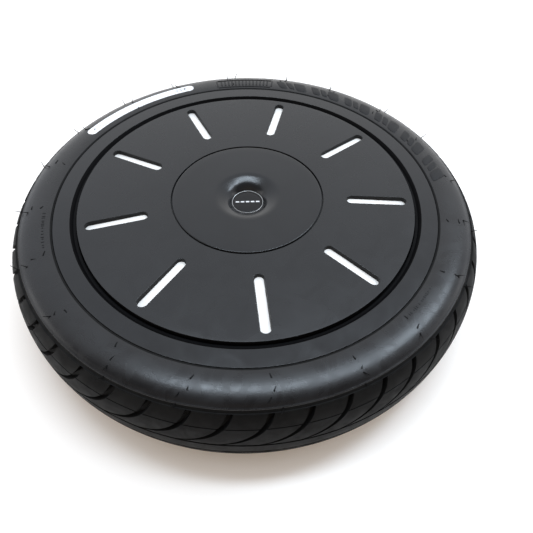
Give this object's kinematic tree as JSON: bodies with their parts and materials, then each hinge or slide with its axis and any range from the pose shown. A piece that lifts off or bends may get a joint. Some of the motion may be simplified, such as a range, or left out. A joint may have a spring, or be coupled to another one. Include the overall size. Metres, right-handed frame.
{
  "type": "hub motor wheel",
  "caption": "Tyred scooter wheel with a gearless electric motor in its hub, a closed slotted face cover and a flanged axle for one-sided mounting.",
  "frame": {"origin": "middle of the wheel: on the axle's centre line, halfway across the width of tyre and label", "axes": "+Z along the axle towards the closed slotted face; X and Y across the wheel, +X near the first slot"},
  "size_m": [0.482, 0.482, 0.0978],
  "materials": {
    "tyre": "matt black moulded rubber with a satin sidewall",
    "painted_alloy": "dark grey powder coat on cast aluminium",
    "cover_plastic": "dark grey satin paint on moulded plastic",
    "white_plastic": "bright white plastic",
    "gloss_black": "gloss black plastic",
    "chrome": "polished bright trim",
    "label_paper": "white coated label paper",
    "black_rubber": "matt black rubber",
    "black_plastic": "black moulded plastic",
    "cast_alloy": "bare cast and machined aluminium",
    "steel": "machined steel",
    "zinc_steel": "bright zinc plating",
    "lamination_steel": "stacked electrical steel",
    "enamelled_copper": "enamelled copper wire",
    "nickel_magnet": "nickel-plated magnets",
    "circuit_board": "green glass-fibre board"
  },
  "bodies": {
    "standing_side": {"axle": "steel", "axle_key": "steel", "axle_nut": "zinc_steel", "axle_washer": "zinc_steel", "cable_gland": "black_rubber", "stator_hub": "cast_alloy", "stator_core": "lamination_steel", "winding": "enamelled_copper", "hall_sensor_board": "circuit_board", "outboard_bearing_inner_race": "steel", "inboard_bearing_inner_race": "steel"},
    "wheel": {"tyre": "tyre", "wheel_rim": "painted_alloy", "valve_stem": "black_rubber", "valve_cap": "black_plastic", "rotor_ring": "steel", "magnet_ring": "nickel_magnet", "outboard_motor_cover": "cast_alloy", "inboard_motor_cover": "cast_alloy", "outboard_bearing_outer_race": "steel", "inboard_bearing_outer_race": "steel", "oil_seal": "black_rubber", "slotted_cover": "cover_plastic", "slot_insert_ring": "white_plastic", "centre_cover": "cover_plastic", "badge": "gloss_black", "badge_ring": "chrome", "tyre_label": "label_paper", "outboard_cover_screw_1": "zinc_steel", "outboard_cover_screw_2": "zinc_steel", "outboard_cover_screw_3": "zinc_steel", "outboard_cover_screw_4": "zinc_steel", "outboard_cover_screw_5": "zinc_steel", "outboard_cover_screw_6": "zinc_steel", "inboard_cover_screw_1": "zinc_steel", "inboard_cover_screw_2": "zinc_steel", "inboard_cover_screw_3": "zinc_steel", "inboard_cover_screw_4": "zinc_steel", "inboard_cover_screw_5": "zinc_steel", "inboard_cover_screw_6": "zinc_steel"},
    "outboard_ball_set": {"outboard_bearing_balls": "steel"},
    "inboard_ball_set": {"inboard_bearing_balls": "steel"}
  },
  "joints": [
    {"name": "wheel_spin", "type": "hinge", "parent": "standing_side", "child": "wheel", "pos_m": [0, 0, 0], "axis": [0, 0, 1], "continuous": true},
    {"name": "outboard_ball_orbit", "type": "hinge", "parent": "standing_side", "child": "outboard_ball_set", "pos_m": [0, 0, 0.0125], "axis": [0, 0, 1], "continuous": true},
    {"name": "inboard_ball_orbit", "type": "hinge", "parent": "standing_side", "child": "inboard_ball_set", "pos_m": [0, 0, -0.0232], "axis": [0, 0, 1], "continuous": true}
  ],
  "couplings": [
    {"joint": "outboard_ball_orbit", "follows": "wheel_spin", "ratio": 0.5821},
    {"joint": "inboard_ball_orbit", "follows": "wheel_spin", "ratio": 0.5593}
  ]
}
